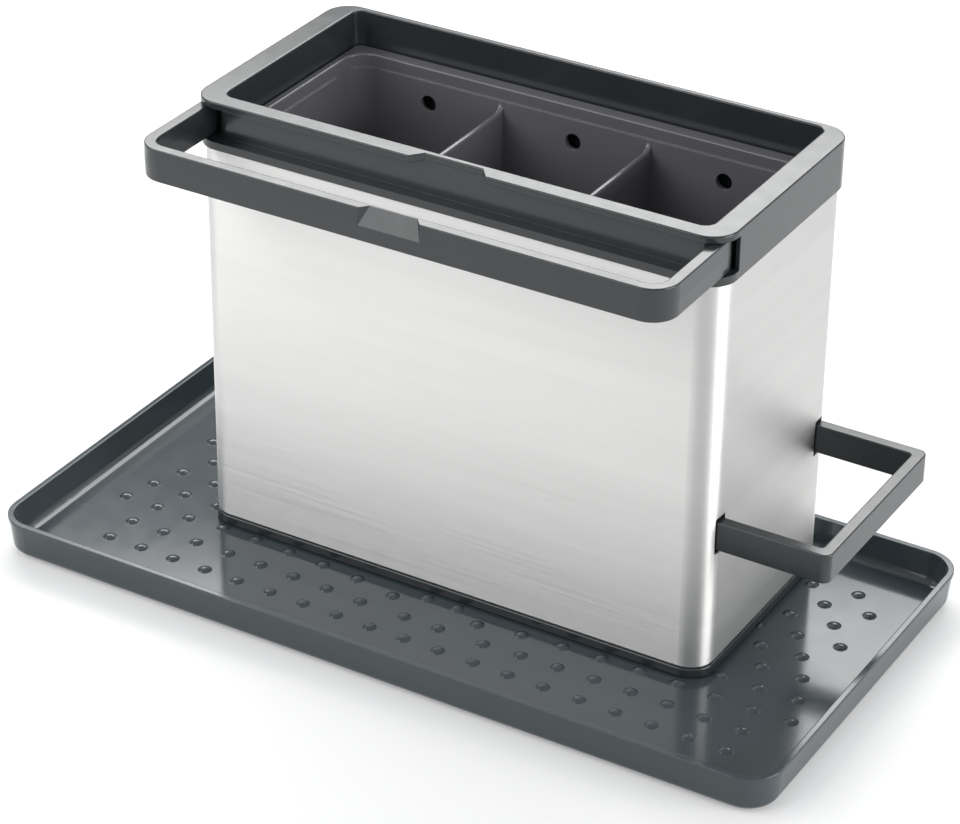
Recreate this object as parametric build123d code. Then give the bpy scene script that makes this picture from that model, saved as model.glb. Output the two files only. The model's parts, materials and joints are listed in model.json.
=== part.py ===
from build123d import *
import math
import os

# Kitchen sink caddy: a steel-clad caddy with a lift-out cup, a towel rail that slides
# out to the front and a side loop that slides out to the right, standing in a drip tray.
# Millimetres. +Z is up, +X is to the right and +Y is to the rear. The origin is the
# middle of the tray, on the surface that it stands on.

# Drip tray
tray_length = 306.4
tray_depth = 155.8
tray_height = 13.75
tray_corner_radius = 12.5
tray_wall = 2.2
tray_outer_draft = 1.6
tray_inner_draft = 2.4
tray_floor_height = 3.0
tray_floor_thickness = 2.0
tray_outer_fillet = 2.8
tray_inner_fillet = 3.4
tray_standing_edge = 5.0
rim_band_height = 1.5
rim_band_step = 0.4
rim_fillet = 0.35

# Raised domes on the tray's floor, on flattened rings round a point near the front edge
dome_diameter = 5.0
dome_height = 1.1
dome_root = 0.5
dome_ring_pitch = 13.75
dome_ring_depth_share = 0.95
dome_ring_steps = (3, 7, 10, 13, 16, 19, 22, 26, 29, 32, 35, 38)
dome_centre_right = 3.0
dome_centre_from_front = 24.7
dome_field_from_side = 17.4
dome_field_from_rear = 21.1
standing_area_margin = 0.4

# Pads under the tray
tray_foot_diameter = 14.0
tray_foot_stand = 1.2
tray_foot_from_edge = 22.0

# Where the caddy stands in the tray
caddy_right = 2.2
caddy_from_tray_rear = 9.9

# Steel sleeve
steel_width = 200.0
steel_depth = 92.0
steel_corner_radius = 9.0
steel_thickness = 0.7
steel_foot_height = 4.5
steel_height = 146.4

# Plinth and its pads
plinth_step = 0.6
plinth_stand = 0.5
plinth_ring_height = 3.4
plinth_plate = 2.5
plinth_neck_inset = 0.4
plinth_wall = 3.0
plinth_fillet = 0.7
plinth_drain_diameter = 6.0
plinth_drain_pitch = 55.0
base_pad_diameter = 12.0
base_pad_from_side = 20.0
base_pad_from_front = 14.0

# Moulded shell inside the steel
shell_gap = 0.2
shell_thickness = 2.0
lug_reach = 7.0
lug_width = 10.0
lug_spacing = 44.0
base_lug_height = 8.0
collar_lug_height = 3.0

# Collar
collar_step = 1.15
collar_back_step = 0.9
collar_corner_radius = 9.5
collar_height = 17.7
collar_band_height = 2.9
collar_overlap = 0.9
collar_lip_thickness = 2.4
collar_side_lip = 8.85
collar_front_lip = 6.9
collar_rear_wall = 2.6
collar_skirt = 1.5
collar_skirt_setback = 10.9
collar_inner_radius = 4.0
collar_fit = 0.15
collar_edge_fillet = 0.6
lip_notch_width = 29.0
lip_notch_inner_width = 22.0
lip_notch_depth = 4.4

# Towel rail
rail_out = 35.6
rail_thickness = 4.4
rail_height = 11.8
rail_corner_radius = 9.5
rail_side_gap = 0.35
rail_top_gap = 0.3
rail_wall_gap = 0.5
rail_tail_end_gap = 3.2
rail_parting_draft = 0.12
rail_edge_fillet = 0.5
rail_tail_step = 1.3
rail_tail_start = 2.6
rail_notch_width = 23.4
rail_notch_inner_width = 18.0
rail_notch_depth = 3.2
rail_notch_height = 6.4
stop_peg_diameter = 2.0
stop_peg_from_end = 3.0
stop_peg_bore_gap = 0.05
stop_peg_reach = 1.7
stop_peg_end_gap = 0.3

# Side loop, its crossbar and its guides
loop_out = 35.7
loop_thickness = 4.3
loop_height = 10.9
loop_width = 78.1
loop_corner_radius = 3.0
loop_inner_corner_radius = 1.0
loop_above_floor = 49.4
loop_stop_gap = 0.3
loop_slot_side_gap = 0.8
loop_slot_end_gap = 1.5
loop_slot_radius = 0.8
loop_edge_fillet = 0.5
crossbar_thickness = 4.3
guide_length = 42.0
guide_gap = 0.3
guide_wall = 1.6
guide_roof = 2.2
guide_shell_gap = 0.1
guide_tab_height = 10.0
guide_tab_thickness = 2.5
guide_tab_length = 28.0
guide_screw_spacing = 16.0

# Screws
screw_diameter = 2.2
screw_hole_gap = 0.05
screw_clear_hole = 2.6
screw_head_diameter = 4.4
screw_head_height = 1.4
screw_recess_width = 0.6
screw_recess_depth = 0.8
base_screw_grip = 6.0
collar_screw_grip = 1.3
guide_screw_grip = 1.5
crossbar_screw_grip = 7.0

# Lift-out cup
cup_rim_gap = 0.4
cup_seat_gap = 0.1
cup_side_rim = 3.1
cup_front_rim = 3.1
cup_rear_rim = 5.3
cup_rim_thickness = 1.7
cup_rim_fillet = 0.7
cup_rim_depth = 4.8
cup_rim_ledge = 0.8
cup_wall = 1.8
cup_draft = 1.2
cup_floor_thickness = 2.0
cup_floor_above_tray = 82.0
cup_corner_radius = 7.0
cup_floor_fillet = 3.0
cup_seat_gap_side = 0.5
divider_pitch = 58.6
divider_thickness = 2.2
divider_below_rim = 8.6
divider_end_radius = 3.8
divider_top_fillet = 1.0
divider_root = 0.9
rear_hole_diameter = 6.0
rear_hole_below_rim = 13.1
drain_hole_diameter = 5.0
drain_hole_pitch = 20.0
drain_rows = 3

# One overrun for all cuts
overrun = 5.0

# Heights and places worked out from the sizes above
tray_bottom_z = tray_foot_stand
tray_top_z = tray_bottom_z + tray_height
floor_z = tray_bottom_z + tray_floor_height

steel_bottom_z = floor_z + steel_foot_height
steel_top_z = steel_bottom_z + steel_height
steel_half_width = steel_width / 2
steel_half_depth = steel_depth / 2

shell_width = steel_width - 2 * (steel_thickness + shell_gap)
shell_depth = steel_depth - 2 * (steel_thickness + shell_gap)
shell_radius = steel_corner_radius - steel_thickness - shell_gap
shell_inner_width = shell_width - 2 * shell_thickness
shell_inner_depth = shell_depth - 2 * shell_thickness

collar_bottom_z = steel_top_z - collar_overlap
ledge_bottom_z = steel_top_z + collar_fit
ledge_top_z = collar_bottom_z + collar_band_height
collar_top_z = collar_bottom_z + collar_height
lip_bottom_z = collar_top_z - collar_lip_thickness
collar_half_width = steel_half_width + collar_step
collar_half_depth = steel_half_depth + collar_back_step
collar_inner_half_width = collar_half_width - collar_side_lip
collar_inner_front = -collar_half_depth + collar_front_lip
collar_inner_rear = collar_half_depth - collar_rear_wall
skirt_front = -collar_half_depth + collar_skirt_setback

rail_top_z = lip_bottom_z - rail_top_gap
rail_bottom_z = rail_top_z - rail_height
rail_half_width = collar_half_width - collar_skirt - rail_side_gap
rail_front = -collar_half_depth - rail_out
rail_wall_outer = -collar_half_depth + rail_thickness + rail_wall_gap
rail_wall_side = rail_half_width - rail_thickness - rail_wall_gap
rail_end = collar_inner_rear - rail_tail_end_gap - rail_out
rail_reach = rail_end - rail_front
rail_tail_y = skirt_front - rail_tail_start
rail_tail_half_width = rail_half_width - rail_tail_step
peg_x = rail_tail_half_width - (rail_thickness - rail_tail_step) / 2
peg_y = rail_end - stop_peg_from_end

loop_bottom_z = floor_z + loop_above_floor
loop_top_z = loop_bottom_z + loop_height
loop_outer_x = steel_half_width + loop_stop_gap + loop_out + loop_thickness
loop_half_width = loop_width / 2
guide_outer_x = shell_inner_width / 2 - guide_shell_gap
guide_inner_x = guide_outer_x - guide_length
loop_end_x = guide_inner_x - loop_stop_gap

cup_rim_bottom_z = ledge_top_z + cup_seat_gap
cup_top_z = cup_rim_bottom_z + cup_rim_thickness
cup_ledge_z = cup_top_z - cup_rim_depth
cup_floor_z = floor_z + cup_floor_above_tray
cup_bottom_z = cup_floor_z - cup_floor_thickness
cup_rim_half_width = collar_inner_half_width - cup_rim_gap
cup_rim_front = collar_inner_front + cup_rim_gap
cup_rim_rear = collar_inner_rear - cup_rim_gap
cup_mouth_half_width = cup_rim_half_width - cup_side_rim
cup_mouth_front = cup_rim_front + cup_front_rim
cup_mouth_rear = cup_rim_rear - cup_rear_rim
cup_inner_half_width = cup_mouth_half_width - cup_rim_ledge
cup_inner_front = cup_mouth_front + cup_rim_ledge
cup_inner_rear = cup_mouth_rear - cup_rim_ledge

caddy_back = tray_depth / 2 - caddy_from_tray_rear - steel_half_depth
caddy = Pos(caddy_right, caddy_back, 0)


def slab(width, depth, radius, bottom, top):
    """Block with rounded vertical corners, centred on the Z axis."""
    outline = RectangleRounded(width, depth, radius)
    return Pos(0, 0, bottom) * extrude(outline, amount=top - bottom)


def slab_between(half_width, front, rear, radius, bottom, top):
    """Block with rounded vertical corners, from a front to a rear face."""
    middle = (front + rear) / 2
    return Pos(0, middle, 0) * slab(2 * half_width, rear - front, radius, bottom, top)


def tapered_slab(low, high, bottom, top):
    """Block that widens upwards; low and high are (width, depth, radius)."""
    lower = Pos(0, 0, bottom) * RectangleRounded(*low)
    upper = Pos(0, 0, top) * RectangleRounded(*high)
    return loft([lower, upper], ruled=True)


def block(x_low, x_high, y_low, y_high, z_low, z_high):
    """Plain block between two corners."""
    centre = Pos((x_low + x_high) / 2, (y_low + y_high) / 2, (z_low + z_high) / 2)
    return centre * Box(x_high - x_low, y_high - y_low, z_high - z_low)


def rod(radius, bottom, top):
    """Upright round rod on the Z axis."""
    return Pos(0, 0, (bottom + top) / 2) * Cylinder(radius, top - bottom)


def edges_at(solid, height):
    """Edges that lie wholly at one height."""
    return solid.edges().filter_by_position(Axis.Z, height, height)


def on_both_sides(piece):
    """The piece and its mirror image across the YZ plane."""
    return [piece, mirror(piece, about=Plane.YZ)]


def cross_screw(grip, cover):
    """Pan-head screw on the Z axis: head below zero, shank through the cover into the grip."""
    shank = rod(screw_diameter / 2, 0, cover + grip)
    head = fillet(
        rod(screw_head_diameter / 2, -screw_head_height, 0).edges().group_by(Axis.Z)[0],
        screw_head_height / 2,
    )
    arm = screw_head_diameter / 2
    slot = block(-arm / 2, arm / 2, -screw_recess_width / 2, screw_recess_width / 2,
                 -screw_head_height - overrun, -screw_head_height + screw_recess_depth)
    return head + shank - slot - Rot(0, 0, 90) * slot


def screw_hole(grip):
    """Blind hole for a screw's grip, up from the Z axis's zero."""
    return rod(screw_diameter / 2 + screw_hole_gap, -overrun, grip)


def dome_places():
    """Dome centres on the rings, inside the field and outside the standing area."""
    centre_y = -tray_depth / 2 + dome_centre_from_front
    field_half_width = tray_length / 2 - dome_field_from_side
    field_depth = tray_depth - dome_centre_from_front - dome_field_from_rear
    places = [(dome_centre_right, centre_y)]
    for ring, steps in enumerate(dome_ring_steps, start=1):
        radius = ring * dome_ring_pitch
        for step in range(steps + 1):
            angle = math.pi * step / steps
            across = radius * math.cos(angle)
            back = radius * math.sin(angle) * dome_ring_depth_share
            if abs(across) > field_half_width or back > field_depth:
                continue
            places.append((dome_centre_right + across, centre_y + back))
    inside_x = steel_half_width - dome_diameter / 2
    inside_y = steel_half_depth - dome_diameter / 2
    return [
        (x, y) for x, y in places
        if abs(x - caddy_right) > inside_x or abs(y - caddy_back) > inside_y
    ]


def dome():
    """Low round dome, rooted a little below the floor."""
    half = dome_diameter / 2
    profile = Polyline((0, dome_height), (0, -dome_root), (half, -dome_root), (half, 0))
    crown = ThreePointArc((half, 0), dome_crown_point(), (0, dome_height))
    return revolve(Plane.XZ * make_face([profile, crown]), axis=Axis.Z)


def dome_crown_point():
    """Middle point of the arc that is the dome's outline."""
    half = dome_diameter / 2
    sphere = (half * half + dome_height * dome_height) / (2 * dome_height)
    half_angle = math.asin(half / sphere) / 2
    return (sphere * math.sin(half_angle), dome_height - sphere * (1 - math.cos(half_angle)))


def drip_tray():
    """Tray with a raised wall, a stepped rim and rings of domes on its floor."""
    band_z = tray_top_z - rim_band_height
    low = (tray_length - 2 * tray_outer_draft, tray_depth - 2 * tray_outer_draft,
           tray_corner_radius - tray_outer_draft)
    step = 2 * rim_band_step
    high = (tray_length - step, tray_depth - step, tray_corner_radius - rim_band_step)
    wall = tapered_slab(low, high, tray_bottom_z, band_z)
    wall = fillet(edges_at(wall, tray_bottom_z), tray_outer_fillet)
    band = slab(tray_length, tray_depth, tray_corner_radius, band_z, tray_top_z)
    tray = wall + band

    inner_low = 2 * (tray_wall + tray_inner_draft)
    inner_high = 2 * tray_wall
    pocket = tapered_slab(
        (tray_length - inner_low, tray_depth - inner_low, tray_corner_radius - inner_low / 2),
        (tray_length - inner_high, tray_depth - inner_high, tray_corner_radius - tray_wall),
        floor_z, tray_top_z)
    pocket = fillet(edges_at(pocket, floor_z), tray_inner_fillet)
    tray -= pocket
    tray = fillet(edges_at(tray, tray_top_z), rim_fillet)

    inset = 2 * (tray_outer_draft + tray_standing_edge)
    underside_z = floor_z - tray_floor_thickness
    tray -= slab(tray_length - inset, tray_depth - inset, tray_corner_radius / 2,
                 tray_bottom_z - overrun, underside_z)

    bump = dome()
    bumps = Part() + [Pos(x, y, floor_z) * bump for x, y in dome_places()]
    margin = 2 * (plinth_step + standing_area_margin)
    standing_area = caddy * slab(
        steel_width + margin, steel_depth + margin,
        steel_corner_radius + margin / 2, floor_z, floor_z + dome_height + overrun)
    return tray + (bumps - standing_area)


def tray_feet():
    """Round pads under the tray's corners."""
    x = tray_length / 2 - tray_foot_from_edge
    y = tray_depth / 2 - tray_foot_from_edge
    pad = rod(tray_foot_diameter / 2, 0, floor_z - tray_floor_thickness)
    pad = fillet(edges_at(pad, 0), tray_foot_stand / 2)
    return [Pos(side * x, end * y, 0) * pad for side in (-1, 1) for end in (-1, 1)]


def plinth_plate_bottom():
    """Height of the underside of the plinth's plate."""
    return steel_bottom_z - plinth_plate


def base_plinth():
    """Moulded base: a ring that shows under the steel, a neck and a plate."""
    ring_bottom = floor_z + plinth_stand
    ring_top = ring_bottom + plinth_ring_height
    step = 2 * plinth_step
    ring = slab(steel_width + step, steel_depth + step, steel_corner_radius + plinth_step,
                ring_bottom, ring_top)
    ring = fillet(edges_at(ring, ring_top), plinth_fillet)
    ring = fillet(edges_at(ring, ring_bottom), plinth_fillet / 2)
    inset = 2 * plinth_neck_inset
    neck = slab(steel_width - inset, steel_depth - inset,
                steel_corner_radius - plinth_neck_inset, ring_bottom + plinth_fillet,
                steel_bottom_z)
    wall = 2 * plinth_wall
    hollow = slab(steel_width - wall, steel_depth - wall, steel_corner_radius - plinth_wall,
                  ring_bottom - overrun, plinth_plate_bottom())
    plinth = ring + neck - hollow
    for x, y in base_lug_places():
        plinth -= Pos(x, y, 0) * rod(screw_clear_hole / 2, ring_bottom, steel_bottom_z + overrun)
    for place in (-1, 0, 1):
        drain = rod(plinth_drain_diameter / 2, ring_bottom, steel_bottom_z + overrun)
        plinth -= Pos(place * plinth_drain_pitch, 0, 0) * drain
    return caddy * plinth


def base_pads():
    """Round pads under the plinth, on which the caddy stands."""
    x = steel_half_width - base_pad_from_side
    y = steel_half_depth - base_pad_from_front
    pad = rod(base_pad_diameter / 2, floor_z, plinth_plate_bottom())
    return [caddy * Pos(side * x, end * y, 0) * pad for side in (-1, 1) for end in (-1, 1)]


def base_lug_places():
    """Screw places near the shell's left and right walls."""
    x = shell_inner_width / 2 - lug_reach / 2
    return [(side * x, end * lug_spacing / 2) for side in (-1, 1) for end in (-1, 1)]


def base_screws():
    """Screws up through the plinth into the shell's lower lugs."""
    screw = cross_screw(base_screw_grip, plinth_plate)
    return [caddy * Pos(x, y, plinth_plate_bottom()) * screw for x, y in base_lug_places()]


def loop_slots():
    """Blocks that cut the two slots through the right-hand wall."""
    inner_x = shell_inner_width / 2 - shell_thickness
    arm_outer = loop_half_width + loop_slot_side_gap
    arm_inner = loop_half_width - loop_thickness - loop_slot_side_gap
    low = loop_bottom_z - loop_slot_end_gap
    high = loop_top_z + loop_slot_end_gap
    slot = block(inner_x, steel_half_width + overrun, arm_inner, arm_outer, low, high)
    slot = fillet(slot.edges().filter_by(Axis.X), loop_slot_radius)
    return [slot, mirror(slot, about=Plane.XZ)]


def lugs(bottom, top):
    """Four lugs on the inside of the shell's left and right walls."""
    outer_x = shell_inner_width / 2 + shell_thickness / 2
    inner_x = shell_inner_width / 2 - lug_reach
    near = (lug_spacing - lug_width) / 2
    far = (lug_spacing + lug_width) / 2
    pieces = []
    for low_y, high_y in ((-far, -near), (near, far)):
        pieces += on_both_sides(block(inner_x, outer_x, low_y, high_y, bottom, top))
    return pieces


def inner_shell():
    """Moulded tube inside the steel, with lugs for screws and slots for the loop."""
    shell = slab(shell_width, shell_depth, shell_radius, steel_bottom_z, ledge_bottom_z)
    shell -= slab(shell_inner_width, shell_inner_depth, shell_radius - shell_thickness,
                  steel_bottom_z - overrun, ledge_bottom_z + overrun)
    shell += lugs(steel_bottom_z, steel_bottom_z + base_lug_height)
    shell += lugs(ledge_bottom_z - collar_lug_height, ledge_bottom_z)
    shell -= loop_slots()
    for x, y in base_lug_places():
        shell -= Pos(x, y, steel_bottom_z) * screw_hole(base_screw_grip)
        shell -= Pos(x, y, 0) * rod(screw_clear_hole / 2, ledge_bottom_z - collar_lug_height,
                                    ledge_bottom_z)
    for x, z in guide_screw_places():
        hole = Pos(x, shell_inner_depth / 2, z) * Rot(-90, 0, 0) * screw_hole(guide_screw_grip)
        shell -= [hole, mirror(hole, about=Plane.XZ)]
    return caddy * shell


def body_sleeve():
    """Brushed steel sleeve round the shell, with two slots in its right side."""
    sleeve = slab(steel_width, steel_depth, steel_corner_radius, steel_bottom_z, steel_top_z)
    wall = 2 * steel_thickness
    sleeve -= slab(steel_width - wall, steel_depth - wall, steel_corner_radius - steel_thickness,
                   steel_bottom_z - overrun, steel_top_z + overrun)
    sleeve -= loop_slots()
    return caddy * sleeve


def rail_cavity():
    """Space in the collar that the rail slides in: a front recess and two side channels."""
    channel = slab_between(collar_half_width - collar_skirt, -collar_half_depth - overrun,
                           collar_half_depth - collar_skirt,
                           collar_corner_radius - collar_skirt, ledge_top_z, lip_bottom_z)
    rear_wall = block(-collar_half_width, collar_half_width, collar_inner_rear,
                      collar_half_depth, ledge_top_z, lip_bottom_z)
    mouth_half = collar_half_width + overrun
    mouth = block(-mouth_half, mouth_half, -collar_half_depth - overrun, skirt_front,
                  ledge_top_z, lip_bottom_z)
    core_radius = rail_corner_radius - rail_thickness - rail_wall_gap
    core = slab_between(rail_wall_side, rail_wall_outer, collar_inner_rear + core_radius,
                        core_radius, ledge_top_z - overrun, lip_bottom_z + overrun)
    return channel + mouth - core - rear_wall


def tapered_notch(width, inner_width, depth, front, bottom, top):
    """Notch that narrows to the rear, cut into a front edge."""
    outline = Polygon(
        (-width / 2, front), (width / 2, front),
        (inner_width / 2, front + depth), (-inner_width / 2, front + depth), align=None)
    ahead = block(-width / 2, width / 2, front - overrun, front, bottom, top)
    return Pos(0, 0, bottom) * extrude(outline, amount=top - bottom) + ahead


def collar():
    """Top moulding: lip, side and rear skirts, inner wall, and the ledge that holds the cup."""
    body = slab_between(collar_half_width, -collar_half_depth, collar_half_depth,
                        collar_corner_radius, collar_bottom_z, collar_top_z)
    body -= slab_between(collar_inner_half_width, collar_inner_front, collar_inner_rear,
                         collar_inner_radius, ledge_top_z, collar_top_z + overrun)
    body -= slab_between(cup_outer_half_width() + cup_seat_gap_side,
                         cup_inner_front - cup_wall - cup_seat_gap_side,
                         cup_inner_rear + cup_wall + cup_seat_gap_side,
                         cup_corner_radius + cup_wall, collar_bottom_z - overrun, collar_top_z)
    fit = 2 * collar_fit
    body -= slab(steel_width + fit, steel_depth + fit, steel_corner_radius + collar_fit,
                 collar_bottom_z - overrun, ledge_bottom_z)
    body -= rail_cavity()
    body -= tapered_notch(lip_notch_width, lip_notch_inner_width, lip_notch_depth,
                          -collar_half_depth, lip_bottom_z, collar_top_z + overrun)
    body = fillet(edges_at(body, collar_top_z), collar_edge_fillet)
    for hole in on_both_sides(Pos(peg_x, 0, 0) * peg_slot()):
        body -= hole
    for x, y in base_lug_places():
        body -= Pos(x, y, ledge_bottom_z) * screw_hole(collar_screw_grip)
    return caddy * body


def peg_slot():
    """Slot in the ledge that a stop peg travels in."""
    half = stop_peg_diameter / 2 + stop_peg_end_gap
    return block(-half, half, peg_y - half, peg_y + rail_out + half,
                 ledge_bottom_z - overrun, ledge_top_z + overrun)


def collar_screws():
    """Screws up through the shell's upper lugs into the collar's ledge."""
    screw = cross_screw(collar_screw_grip, collar_lug_height)
    z = ledge_bottom_z - collar_lug_height
    return [caddy * Pos(x, y, z) * screw for x, y in base_lug_places()]


def rail_layer(inset_low, inset_high, bottom, top):
    """One half of the rail's height, tapering away from the parting line."""
    outlines = []
    holes = []
    for inset, height in ((inset_low, bottom), (inset_high, top)):
        middle = Pos(0, rail_end, height)
        outer = RectangleRounded(2 * (rail_half_width - inset), 2 * (rail_reach - inset),
                                 rail_corner_radius - inset)
        inner = RectangleRounded(2 * (rail_half_width - rail_thickness + inset),
                                 2 * (rail_reach - rail_thickness + inset),
                                 rail_corner_radius - rail_thickness + inset)
        outlines.append(middle * outer)
        holes.append(middle * inner)
    return loft(outlines, ruled=True) - loft(holes, ruled=True)


def towel_rail():
    """U-shaped rail with a parting line at mid height, thinner tails and a finger notch."""
    middle = (rail_bottom_z + rail_top_z) / 2
    draft = rail_parting_draft
    rail = rail_layer(draft, 0, rail_bottom_z, middle) + rail_layer(0, draft, middle, rail_top_z)
    far = rail_half_width + overrun
    rail -= block(-far, far, rail_end, rail_end + rail_reach + overrun, rail_bottom_z - overrun,
                  rail_top_z + overrun)
    tail = block(rail_tail_half_width, far, rail_tail_y, rail_end + overrun,
                 rail_bottom_z - overrun, rail_top_z + overrun)
    rail -= on_both_sides(tail)
    rail = fillet(edges_at(rail, rail_top_z) + edges_at(rail, rail_bottom_z), rail_edge_fillet)
    rail -= finger_scoop()
    for hole in on_both_sides(Pos(peg_x, peg_y, 0) * peg_bore()):
        rail -= hole
    return caddy * rail


def finger_scoop():
    """Sloping scoop in the top front edge of the rail."""
    low = rail_top_z - rail_notch_height
    top_outline = Polygon(
        (-rail_notch_width / 2, rail_front - overrun), (rail_notch_width / 2, rail_front - overrun),
        (rail_notch_width / 2, rail_front),
        (rail_notch_inner_width / 2, rail_front + rail_notch_depth),
        (-rail_notch_inner_width / 2, rail_front + rail_notch_depth),
        (-rail_notch_width / 2, rail_front), align=None)
    slope = Polygon(
        (rail_front - overrun, low), (rail_front, low),
        (rail_front + rail_notch_depth, rail_top_z),
        (rail_front + rail_notch_depth, rail_top_z + overrun),
        (rail_front - overrun, rail_top_z + overrun), align=None)
    column = Pos(0, 0, low) * extrude(top_outline, amount=rail_notch_height + overrun)
    wedge = extrude(Plane.YZ * slope, amount=rail_notch_width / 2, both=True)
    return column & wedge


def peg_bore():
    """Hole in the rail's tail that holds a stop peg."""
    return rod(stop_peg_diameter / 2 + stop_peg_bore_gap, rail_bottom_z - overrun,
               rail_top_z + overrun)


def rail_stop_pegs():
    """Pegs in the rail's tails; they meet the ends of their slots in the ledge."""
    peg = rod(stop_peg_diameter / 2, ledge_top_z - stop_peg_reach, rail_top_z)
    return [caddy * piece for piece in on_both_sides(Pos(peg_x, peg_y, 0) * peg)]


def side_loop():
    """U-shaped strap that slides out to the right."""
    length = loop_outer_x - loop_end_x
    outer = RectangleRounded(2 * length, loop_width, loop_corner_radius)
    inner = RectangleRounded(2 * (length - loop_thickness), loop_width - 2 * loop_thickness,
                             loop_inner_corner_radius)
    strap = extrude(Pos(loop_end_x, 0, loop_bottom_z) * (outer - inner), amount=loop_height)
    far = loop_half_width + overrun
    strap -= block(loop_end_x - 2 * length, loop_end_x, -far, far, loop_bottom_z - overrun,
                   loop_top_z + overrun)
    rims = edges_at(strap, loop_top_z) + edges_at(strap, loop_bottom_z)
    strap = fillet(rims, loop_edge_fillet)
    for y in loop_screw_rows():
        hole = Pos(loop_end_x, y, loop_middle_z()) * Rot(0, 90, 0) * screw_hole(crossbar_screw_grip)
        strap -= hole
    return caddy * strap


def loop_middle_z():
    """Height of the middle of the loop's strap."""
    return (loop_bottom_z + loop_top_z) / 2


def loop_screw_rows():
    """Middle lines of the loop's two arms."""
    y = loop_half_width - loop_thickness / 2
    return (-y, y)


def loop_crossbar():
    """Bar across the inner ends of the loop's arms, which also stops its travel."""
    bar = block(loop_end_x - crossbar_thickness, loop_end_x, -loop_half_width,
                loop_half_width, loop_bottom_z, loop_top_z)
    bar = fillet(bar.edges().filter_by(Axis.Y), loop_edge_fillet)
    for y in loop_screw_rows():
        bore = rod(screw_clear_hole / 2, -overrun, crossbar_thickness + overrun)
        sink = rod(screw_head_diameter / 2 + screw_hole_gap, -overrun, screw_head_height)
        place = Pos(loop_end_x - crossbar_thickness, y, loop_middle_z()) * Rot(0, 90, 0)
        bar -= place * (bore + sink)
    return caddy * bar


def loop_crossbar_screws():
    """Screws through the crossbar into the ends of the arms."""
    cover = crossbar_thickness - screw_head_height
    screw = Rot(0, 90, 0) * cross_screw(crossbar_screw_grip - loop_edge_fillet, cover)
    x = loop_end_x - cover
    return [caddy * Pos(x, y, loop_middle_z()) * screw for y in loop_screw_rows()]


def guide_screw_places():
    """X and Z of the two screws that hold a guide's tab."""
    x = (guide_inner_x + guide_outer_x) / 2
    z = loop_top_z + guide_gap + guide_roof + guide_tab_height / 2
    return [(x + side * guide_screw_spacing / 2, z) for side in (-1, 1)]


def loop_guide():
    """Rear guide: a tunnel for one arm of the loop, with a tab for its screws."""
    outer_y = shell_inner_depth / 2 - guide_shell_gap
    arm_outer = loop_half_width + guide_gap
    arm_inner = loop_half_width - loop_thickness - guide_gap
    low = loop_bottom_z - guide_gap
    high = loop_top_z + guide_gap
    room = slab(2 * guide_outer_x, 2 * outer_y, shell_radius - shell_thickness - guide_shell_gap,
                low - guide_roof, high + guide_roof)
    guide = room & block(guide_inner_x, guide_outer_x, arm_inner - guide_wall, outer_y,
                         low - guide_roof, high + guide_roof)
    middle = (guide_inner_x + guide_outer_x) / 2
    guide += block(middle - guide_tab_length / 2, middle + guide_tab_length / 2,
                   outer_y - guide_tab_thickness, outer_y, high,
                   high + guide_roof + guide_tab_height)
    guide -= block(guide_inner_x - overrun, guide_outer_x + overrun, arm_inner, arm_outer,
                   low, high)
    for x, z in guide_screw_places():
        bore = rod(screw_clear_hole / 2, -overrun, guide_tab_thickness + overrun)
        guide -= Pos(x, outer_y - guide_tab_thickness, z) * Rot(-90, 0, 0) * bore
    return guide


def loop_guide_rear():
    """Guide on the shell's rear wall."""
    return caddy * loop_guide()


def loop_guide_front():
    """Guide on the shell's front wall."""
    return caddy * mirror(loop_guide(), about=Plane.XZ)


def loop_guide_screws():
    """Screws through the guides' tabs into the shell."""
    cover = guide_tab_thickness + guide_shell_gap
    y = shell_inner_depth / 2 - cover
    screws = []
    for x, z in guide_screw_places():
        screw = Pos(x, y, z) * Rot(-90, 0, 0) * cross_screw(guide_screw_grip - guide_shell_gap, cover)
        screws += [caddy * screw, caddy * mirror(screw, about=Plane.XZ)]
    return screws


def cup_outer_half_width():
    """Half width of the cup just under its rim."""
    return cup_inner_half_width + cup_wall


def cup_shape(offset, bottom, top):
    """Tapering block that follows the cup's inside, grown by an offset."""
    faces = []
    for height in (bottom, top):
        inset = cup_draft * (cup_ledge_z - height) / (cup_ledge_z - cup_floor_z) - offset
        front = cup_inner_front + inset
        rear = cup_inner_rear - inset
        outline = RectangleRounded(2 * (cup_inner_half_width - inset), rear - front,
                                   cup_corner_radius - inset)
        faces.append(Pos(0, (front + rear) / 2, height) * outline)
    return loft(faces, ruled=True)


def divider():
    """Upright divider whose top curves up to the front and rear walls."""
    top = cup_top_z - divider_below_rim
    front = cup_inner_front - divider_root
    rear = cup_inner_rear + divider_root
    step = divider_end_radius
    face_front = cup_inner_front + step
    face_rear = cup_inner_rear - step
    half_step = step * math.sin(math.radians(45))
    outline = [
        Polyline((front, top + step), (front, cup_floor_z), (rear, cup_floor_z),
                 (rear, top + step), (cup_inner_rear, top + step)),
        ThreePointArc((cup_inner_rear, top + step),
                      (face_rear + half_step, top + step - half_step), (face_rear, top)),
        Line((face_rear, top), (face_front, top)),
        ThreePointArc((face_front, top), (face_front - half_step, top + step - half_step),
                      (cup_inner_front, top + step)),
        Line((cup_inner_front, top + step), (front, top + step)),
    ]
    return extrude(Plane.YZ * make_face(outline), amount=divider_thickness / 2, both=True)


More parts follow.
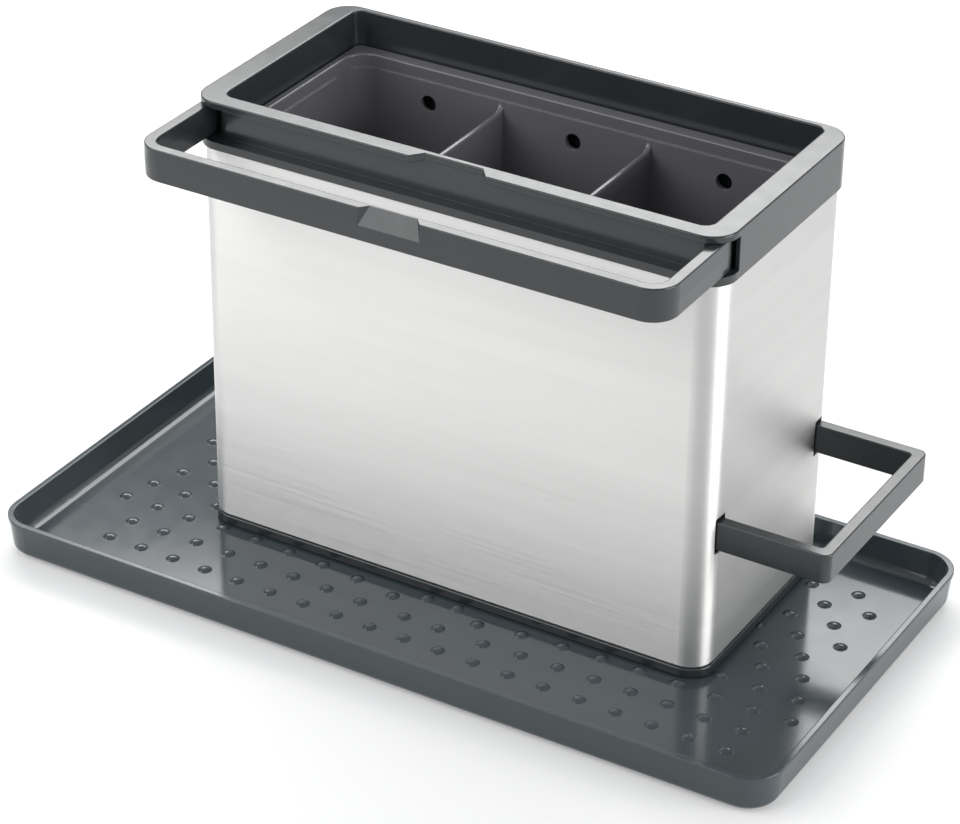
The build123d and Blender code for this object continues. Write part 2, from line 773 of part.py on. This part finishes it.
def cup_insert():
    """Lift-out cup with a stepped rim, two dividers and holes in its floor and rear wall."""
    cup = slab_between(cup_rim_half_width, cup_rim_front, cup_rim_rear,
                       collar_inner_radius - cup_rim_gap, cup_rim_bottom_z, cup_top_z)
    outside = cup_shape(cup_wall, cup_bottom_z, cup_ledge_z)
    outside = fillet(edges_at(outside, cup_bottom_z), cup_floor_fillet)
    neck = slab_between(cup_outer_half_width(), cup_inner_front - cup_wall,
                        cup_inner_rear + cup_wall, cup_corner_radius + cup_wall,
                        cup_ledge_z, cup_rim_bottom_z)
    cup += [outside, neck]
    mouth = slab_between(cup_mouth_half_width, cup_mouth_front, cup_mouth_rear,
                         cup_corner_radius + cup_rim_ledge, cup_ledge_z, cup_top_z)
    cup -= mouth
    cup = fillet(edges_at(cup, cup_top_z), cup_rim_fillet)
    hollow = cup_shape(0, cup_floor_z, cup_ledge_z)
    hollow = fillet(edges_at(hollow, cup_floor_z), cup_floor_fillet / 2)
    wall = divider()
    crest = wall.edges().filter_by(lambda edge: edge.center().Z > cup_top_z - divider_below_rim
                                   - divider_top_fillet and edge.length > divider_thickness)
    crest = crest.filter_by(lambda edge: edge.center().Z < cup_top_z - divider_below_rim
                            + divider_end_radius)
    wall = fillet(crest, divider_top_fillet)
    cup -= hollow - [Pos(side * divider_pitch / 2, 0, 0) * wall for side in (-1, 1)]

    for place in (-1, 0, 1):
        hole = rod(rear_hole_diameter / 2, -overrun, cup_wall + overrun)
        z = cup_top_z - rear_hole_below_rim
        cup -= Pos(place * divider_pitch, cup_inner_rear, z) * Rot(-90, 0, 0) * hole
        middle_y = (cup_inner_front + cup_inner_rear) / 2
        for row in range(drain_rows):
            y = middle_y + (row - (drain_rows - 1) / 2) * drain_hole_pitch
            drain = rod(drain_hole_diameter / 2, cup_bottom_z - overrun, cup_floor_z + overrun)
            cup -= Pos(place * divider_pitch, y, 0) * drain
    return caddy * cup


pieces = {
    "drip_tray": drip_tray,
    "tray_feet": tray_feet,
    "base_plinth": base_plinth,
    "base_pads": base_pads,
    "base_screws": base_screws,
    "inner_shell": inner_shell,
    "body_sleeve": body_sleeve,
    "collar": collar,
    "collar_screws": collar_screws,
    "towel_rail": towel_rail,
    "rail_stop_pegs": rail_stop_pegs,
    "side_loop": side_loop,
    "loop_crossbar": loop_crossbar,
    "loop_crossbar_screws": loop_crossbar_screws,
    "loop_guide_front": loop_guide_front,
    "loop_guide_rear": loop_guide_rear,
    "loop_guide_screws": loop_guide_screws,
    "cup_insert": cup_insert,
}

os.makedirs("parts", exist_ok=True)
for name, make in pieces.items():
    made = make()
    solids = made if isinstance(made, list) else [made]
    node = Compound(children=[solid for piece in solids for solid in piece.solids()])
    export_step(node, f"parts/{name}.step")
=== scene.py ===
import json
import math

import bpy
from mathutils import Matrix, Vector

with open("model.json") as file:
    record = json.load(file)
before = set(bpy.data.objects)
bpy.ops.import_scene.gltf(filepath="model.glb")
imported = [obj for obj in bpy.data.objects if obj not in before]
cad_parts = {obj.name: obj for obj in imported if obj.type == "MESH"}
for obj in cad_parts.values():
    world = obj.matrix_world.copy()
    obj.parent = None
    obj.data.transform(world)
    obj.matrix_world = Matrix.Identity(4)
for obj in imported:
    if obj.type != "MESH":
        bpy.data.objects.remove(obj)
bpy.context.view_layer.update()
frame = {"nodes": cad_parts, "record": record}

# Kitchen sink caddy: plastics, brushed steel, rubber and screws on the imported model,
# on a plain pale floor. Metres, in the model's frame.

# Camera, as the photograph is seen: it looks down from the front right
camera_azimuth = 30.43
camera_elevation = 30.43
camera_roll = 0.63
camera_distance = 1.186
camera_target = Vector((-0.0118, 0.022, 0.052))
camera_lens = 125.8
sensor_width = 36.0

# Floor and lamps
floor_size = 30.0
floor_colour = (0.72, 0.72, 0.72, 1)
floor_glow = 0.2
world_colour = (0.97, 0.98, 1.0, 1)
world_strength = 0.55
lamps = {
    "rear_softbox": {"azimuth": 210, "elevation": 43.5, "distance": 0.87,
                     "size": (1.1, 0.36), "power": 7.5},
    "right_softbox": {"azimuth": 92, "elevation": 14, "distance": 1.3,
                      "size": (0.8, 0.6), "power": 12.0},
    "front_softbox": {"azimuth": -38, "elevation": 34, "distance": 1.3,
                      "size": (1.2, 0.7), "power": 9.0},
}

# Softened edges, and the part of a noise texture's range that is used
edge_radius = 0.00035
edge_samples = 6
noise_low = 0.3
noise_high = 0.7

# Moulded plastics: each has its colour, roughness, grain and cloudiness
plastics = {
    "tray_plastic": {"colour": (0.040, 0.053, 0.059), "roughness": 0.13,
                     "grain": 0.05, "cloud": 0.12},
    "body_plastic": {"colour": (0.026, 0.030, 0.032), "roughness": 0.2,
                     "grain": 0.08, "cloud": 0.12},
    "cup_plastic": {"colour": (0.125, 0.125, 0.135), "roughness": 0.2,
                    "grain": 0.06, "cloud": 0.1},
}
plastic_cloud_scale = 35
plastic_smear_scale = 140
plastic_grain_scale = 2600
plastic_grain_depth = 0.00002
plastic_rougher = 1.15
plastic_smoother = 0.85
plastic_ior = 1.52

# Brushed steel: fine lines and broad bands, both drawn out sideways
steel_colour = (0.74, 0.735, 0.725)
steel_darker = 0.94
steel_lighter = 1.05
steel_line_stretch = (12, 12, 2600)
steel_band_stretch = (6, 6, 110)
steel_roughness = (0.44, 0.56)
steel_anisotropy = 0.8
steel_quarter_turn = 0.25
steel_line_strength = 0.10
steel_line_depth = 0.00001

# Rubber pads
rubber_colour = (0.018, 0.018, 0.018)
rubber_lighter = 1.6
rubber_roughness = 0.75
rubber_speckle_scale = 1800
rubber_speckle_strength = 0.3
rubber_speckle_depth = 0.00005

# Plated screws
screw_colour = (0.52, 0.52, 0.53)
screw_lighter = 1.25
screw_roughness = (0.22, 0.42)
screw_wear_scale = 900
screw_wear_strength = 0.15
screw_wear_depth = 0.00003
screw_edge_radius = 0.0001


def node_tree(name):
    """New material, with its nodes, links and principled shader."""
    made = bpy.data.materials.new(name)
    made.use_nodes = True
    nodes, links = made.node_tree.nodes, made.node_tree.links
    return made, nodes, links, nodes["Principled BSDF"]


def scaled(colour, share):
    """A colour times a share, no channel above 1."""
    return [min(1.0, channel * share) for channel in colour]


def stretched_places(nodes, links, stretch=(1, 1, 1)):
    """Object coordinates, scaled by a factor on each axis."""
    coordinates = nodes.new("ShaderNodeTexCoord")
    mapping = nodes.new("ShaderNodeMapping")
    mapping.inputs["Scale"].default_value = stretch
    links.new(coordinates.outputs["Object"], mapping.inputs["Vector"])
    return mapping.outputs["Vector"]


def noise(nodes, links, places, scale, detail=4.0, roughness=0.55):
    """Noise texture at those places."""
    texture = nodes.new("ShaderNodeTexNoise")
    texture.inputs["Scale"].default_value = scale
    texture.inputs["Detail"].default_value = detail
    texture.inputs["Roughness"].default_value = roughness
    links.new(places, texture.inputs["Vector"])
    return texture.outputs["Fac"]


def spread(nodes, links, source, low, high):
    """Maps a noise value to a range from low to high."""
    ramp = nodes.new("ShaderNodeMapRange")
    ramp.inputs["From Min"].default_value = noise_low
    ramp.inputs["From Max"].default_value = noise_high
    ramp.inputs["To Min"].default_value = low
    ramp.inputs["To Max"].default_value = high
    links.new(source, ramp.inputs["Value"])
    return ramp.outputs["Result"]


def bump(nodes, links, height, strength, depth):
    """Bump from a height."""
    made = nodes.new("ShaderNodeBump")
    made.inputs["Strength"].default_value = strength
    made.inputs["Distance"].default_value = depth
    links.new(height, made.inputs["Height"])
    return made


def rounded_bump(nodes, links, shader, height, strength, depth, radius=edge_radius):
    """Bump on top of softly rounded edges."""
    bevel = nodes.new("ShaderNodeBevel")
    bevel.samples = edge_samples
    bevel.inputs["Radius"].default_value = radius
    relief = bump(nodes, links, height, strength, depth)
    links.new(bevel.outputs["Normal"], relief.inputs["Normal"])
    links.new(relief.outputs["Normal"], shader.inputs["Normal"])


def shade_between(nodes, links, factor, dark, light):
    """Colour between two shades, by a factor."""
    mix = nodes.new("ShaderNodeMix")
    mix.data_type = "RGBA"
    mix.inputs["A"].default_value = (*dark, 1)
    mix.inputs["B"].default_value = (*light, 1)
    links.new(factor, mix.inputs["Factor"])
    return mix.outputs["Result"]


def moulded_plastic(name):
    """Moulded plastic: slightly clouded colour, fine moulding texture, soft edges."""
    made, nodes, links, shader = node_tree(name)
    finish = plastics[name]
    places = stretched_places(nodes, links)
    clouds = noise(nodes, links, places, plastic_cloud_scale, detail=3.0)
    grain = noise(nodes, links, places, plastic_grain_scale, detail=3.0)
    smear = noise(nodes, links, places, plastic_smear_scale)
    dark = scaled(finish["colour"], 1 - finish["cloud"])
    light = scaled(finish["colour"], 1 + finish["cloud"])
    links.new(shade_between(nodes, links, clouds, dark, light), shader.inputs["Base Color"])
    smooth = finish["roughness"] * plastic_smoother
    rough = finish["roughness"] * plastic_rougher
    links.new(spread(nodes, links, smear, smooth, rough), shader.inputs["Roughness"])
    shader.inputs["IOR"].default_value = plastic_ior
    rounded_bump(nodes, links, shader, grain, finish["grain"], plastic_grain_depth)
    return made


def brushed_steel():
    """Stainless steel with fine horizontal brushing."""
    made, nodes, links, shader = node_tree("brushed_steel")
    line_places = stretched_places(nodes, links, steel_line_stretch)
    lines = noise(nodes, links, line_places, 1.0, detail=5.0, roughness=0.7)
    band_places = stretched_places(nodes, links, steel_band_stretch)
    bands = noise(nodes, links, band_places, 1.0, detail=3.0)
    dark = scaled(steel_colour, steel_darker)
    light = scaled(steel_colour, steel_lighter)
    links.new(shade_between(nodes, links, bands, dark, light), shader.inputs["Base Color"])
    links.new(spread(nodes, links, lines, *steel_roughness), shader.inputs["Roughness"])
    shader.inputs["Metallic"].default_value = 1.0
    shader.inputs["Anisotropic"].default_value = steel_anisotropy
    shader.inputs["Anisotropic Rotation"].default_value = steel_quarter_turn
    tangent = nodes.new("ShaderNodeTangent")
    tangent.direction_type = "RADIAL"
    tangent.axis = "Z"
    links.new(tangent.outputs["Tangent"], shader.inputs["Tangent"])
    relief = bump(nodes, links, lines, steel_line_strength, steel_line_depth)
    links.new(relief.outputs["Normal"], shader.inputs["Normal"])
    return made


def rubber():
    """Matt black rubber with a fine speckle."""
    made, nodes, links, shader = node_tree("rubber")
    speckle = noise(nodes, links, stretched_places(nodes, links), rubber_speckle_scale)
    light = scaled(rubber_colour, rubber_lighter)
    links.new(shade_between(nodes, links, speckle, rubber_colour, light),
              shader.inputs["Base Color"])
    shader.inputs["Roughness"].default_value = rubber_roughness
    rounded_bump(nodes, links, shader, speckle, rubber_speckle_strength, rubber_speckle_depth)
    return made


def plated_steel():
    """Plated screws, a little worn on their drives."""
    made, nodes, links, shader = node_tree("plated_steel")
    wear = noise(nodes, links, stretched_places(nodes, links), screw_wear_scale)
    light = scaled(screw_colour, screw_lighter)
    links.new(shade_between(nodes, links, wear, screw_colour, light), shader.inputs["Base Color"])
    links.new(spread(nodes, links, wear, *screw_roughness), shader.inputs["Roughness"])
    shader.inputs["Metallic"].default_value = 1.0
    rounded_bump(nodes, links, shader, wear, screw_wear_strength, screw_wear_depth,
                 screw_edge_radius)
    return made


def dress_nodes():
    """Gives each node the material of its slot."""
    finishes = {name: moulded_plastic(name) for name in plastics}
    finishes["sleeve_steel"] = brushed_steel()
    finishes["rubber_pads"] = rubber()
    finishes["screw_steel"] = plated_steel()
    for part in frame["record"]["subparts"]:
        node = frame["nodes"][part["node"]]
        node.data.materials.clear()
        node.data.materials.append(finishes[part["material_slot"]])


def seen_or_mirrored(nodes, links):
    """1 for rays from the camera, in reflections and through clear surfaces, 0 for others."""
    path = nodes.new("ShaderNodeLightPath")
    seen = path.outputs["Is Camera Ray"]
    for output in ("Is Glossy Ray", "Is Transmission Ray"):
        either = nodes.new("ShaderNodeMath")
        either.operation = "MAXIMUM"
        links.new(seen, either.inputs[0])
        links.new(path.outputs[output], either.inputs[1])
        seen = either.outputs["Value"]
    return seen


def floor_paint():
    """Pale matt paint that looks white to the camera and in reflections."""
    made, nodes, links, shader = node_tree("floor_paint")
    shader.inputs["Base Color"].default_value = floor_colour
    shader.inputs["Roughness"].default_value = 1.0
    shader.inputs["Specular IOR Level"].default_value = 0.0
    shader.inputs["Emission Color"].default_value = (1, 1, 1, 1)
    glow = nodes.new("ShaderNodeMath")
    glow.operation = "MULTIPLY"
    glow.inputs[1].default_value = floor_glow
    links.new(seen_or_mirrored(nodes, links), glow.inputs[0])
    links.new(glow.outputs["Value"], shader.inputs["Emission Strength"])
    return made


def floor():
    """Flat floor that keeps the shadow."""
    mesh = bpy.data.meshes.new("floor")
    half = floor_size / 2
    mesh.from_pydata([(-half, -half, 0), (half, -half, 0), (half, half, 0), (-half, half, 0)],
                     [], [(0, 1, 2, 3)])
    made = bpy.data.objects.new("floor", mesh)
    bpy.context.scene.collection.objects.link(made)
    mesh.materials.append(floor_paint())


def direction(azimuth, elevation):
    """Unit vector from the object; azimuth 0 is the front, 90 is the right."""
    turn, rise = math.radians(azimuth), math.radians(elevation)
    return Vector((math.sin(turn) * math.cos(rise), -math.cos(turn) * math.cos(rise),
                   math.sin(rise)))


def plain_world():
    """Even, almost white light from all round."""
    world = bpy.data.worlds.new("studio")
    bpy.context.scene.world = world
    world.use_nodes = True
    background = world.node_tree.nodes["Background"]
    background.inputs["Color"].default_value = world_colour
    background.inputs["Strength"].default_value = world_strength


def softbox(name, lamp):
    """Rectangular lamp that faces the camera's target."""
    data = bpy.data.lights.new(name, "AREA")
    data.shape = "RECTANGLE"
    data.size, data.size_y = lamp["size"]
    data.energy = lamp["power"]
    made = bpy.data.objects.new(name, data)
    bpy.context.scene.collection.objects.link(made)
    out = direction(lamp["azimuth"], lamp["elevation"])
    made.location = camera_target + out * lamp["distance"]
    made.rotation_mode = "QUATERNION"
    made.rotation_quaternion = (-out).to_track_quat("-Z", "Y")


def place_camera():
    """Camera at the photograph's viewing angle."""
    data = bpy.data.cameras.new("camera")
    data.sensor_width = sensor_width
    data.lens = camera_lens
    made = bpy.data.objects.new("camera", data)
    bpy.context.scene.collection.objects.link(made)
    back = direction(camera_azimuth, camera_elevation)
    level = back.to_track_quat("Z", "Y").to_matrix()
    turn = Matrix.Rotation(math.radians(camera_roll), 3, "Z")
    made.matrix_world = Matrix.Translation(camera_target + back * camera_distance) @ (
        level @ turn).to_4x4()
    bpy.context.scene.camera = made


dress_nodes()
floor()
plain_world()
for lamp_name, lamp_values in lamps.items():
    softbox(lamp_name, lamp_values)
place_camera()
bpy.context.scene.view_settings.view_transform = "Standard"
